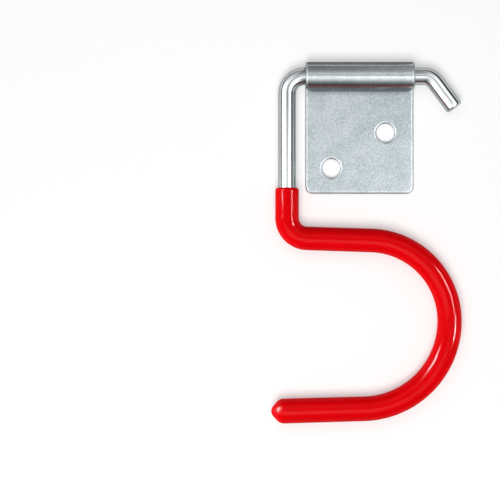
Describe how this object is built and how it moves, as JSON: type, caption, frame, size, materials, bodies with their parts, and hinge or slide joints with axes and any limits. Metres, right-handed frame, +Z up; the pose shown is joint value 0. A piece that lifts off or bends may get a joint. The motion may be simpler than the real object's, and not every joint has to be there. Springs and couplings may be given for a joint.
{
  "type": "garage utility hook",
  "caption": "Wall plate of zinc-plated sheet steel curled into a barrel, in which a bent round-bar hook with a red vinyl dip coat swings.",
  "frame": {"origin": "middle of the plate's width, level with the centre of the screw pattern, on the plate's back face", "axes": "+Z up from the screw holes to the barrel, +X along the barrel towards the short retaining leg, +Y into the wall"},
  "size_m": [0.0878, 0.0131, 0.1665],
  "materials": {
    "zinc_sheet": "satin zinc plating with a fine mottled grain",
    "zinc_bar": "bright zinc plating with faint drawing lines",
    "red_vinyl": "glossy dip-coated vinyl"
  },
  "bodies": {
    "plate": {"mounting_plate": "zinc_sheet"},
    "hook": {"hook_rod": "zinc_bar", "vinyl_sleeve": "red_vinyl"}
  },
  "joints": [
    {"name": "hook_swing", "type": "hinge", "parent": "plate", "child": "hook", "pos_m": [0, -0.00655, 0.034], "axis": [-1, 0, 0], "range_deg": [0, 180]}
  ]
}
